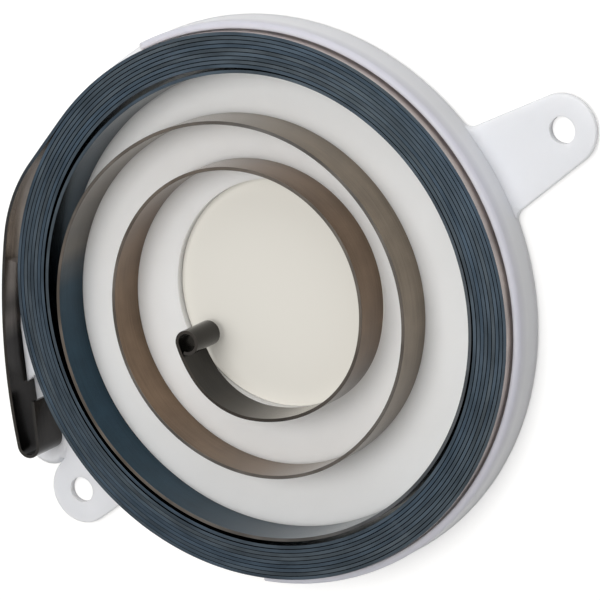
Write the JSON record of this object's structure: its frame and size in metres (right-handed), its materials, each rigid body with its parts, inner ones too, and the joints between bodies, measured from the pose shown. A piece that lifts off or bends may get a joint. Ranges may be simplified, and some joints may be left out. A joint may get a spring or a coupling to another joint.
{
  "type": "constant force spring",
  "caption": "Flat coiled steel strip wound in a round moulded cup with two screw ears, with an eye at its inner end and a hook at its outer end.",
  "frame": {"origin": "on the cup's axis at its back face", "axes": "+Z along the cup's axis out of its open front, +X along the line of the two ear screws, towards the long ear"},
  "size_m": [0.1023, 0.0764, 0.0072],
  "materials": {
    "spring_steel": "blued and oiled",
    "white_nylon": "moulded satin"
  },
  "bodies": {
    "root": {"spring_strip": "spring_steel", "spring_housing": "white_nylon"}
  },
  "joints": []
}
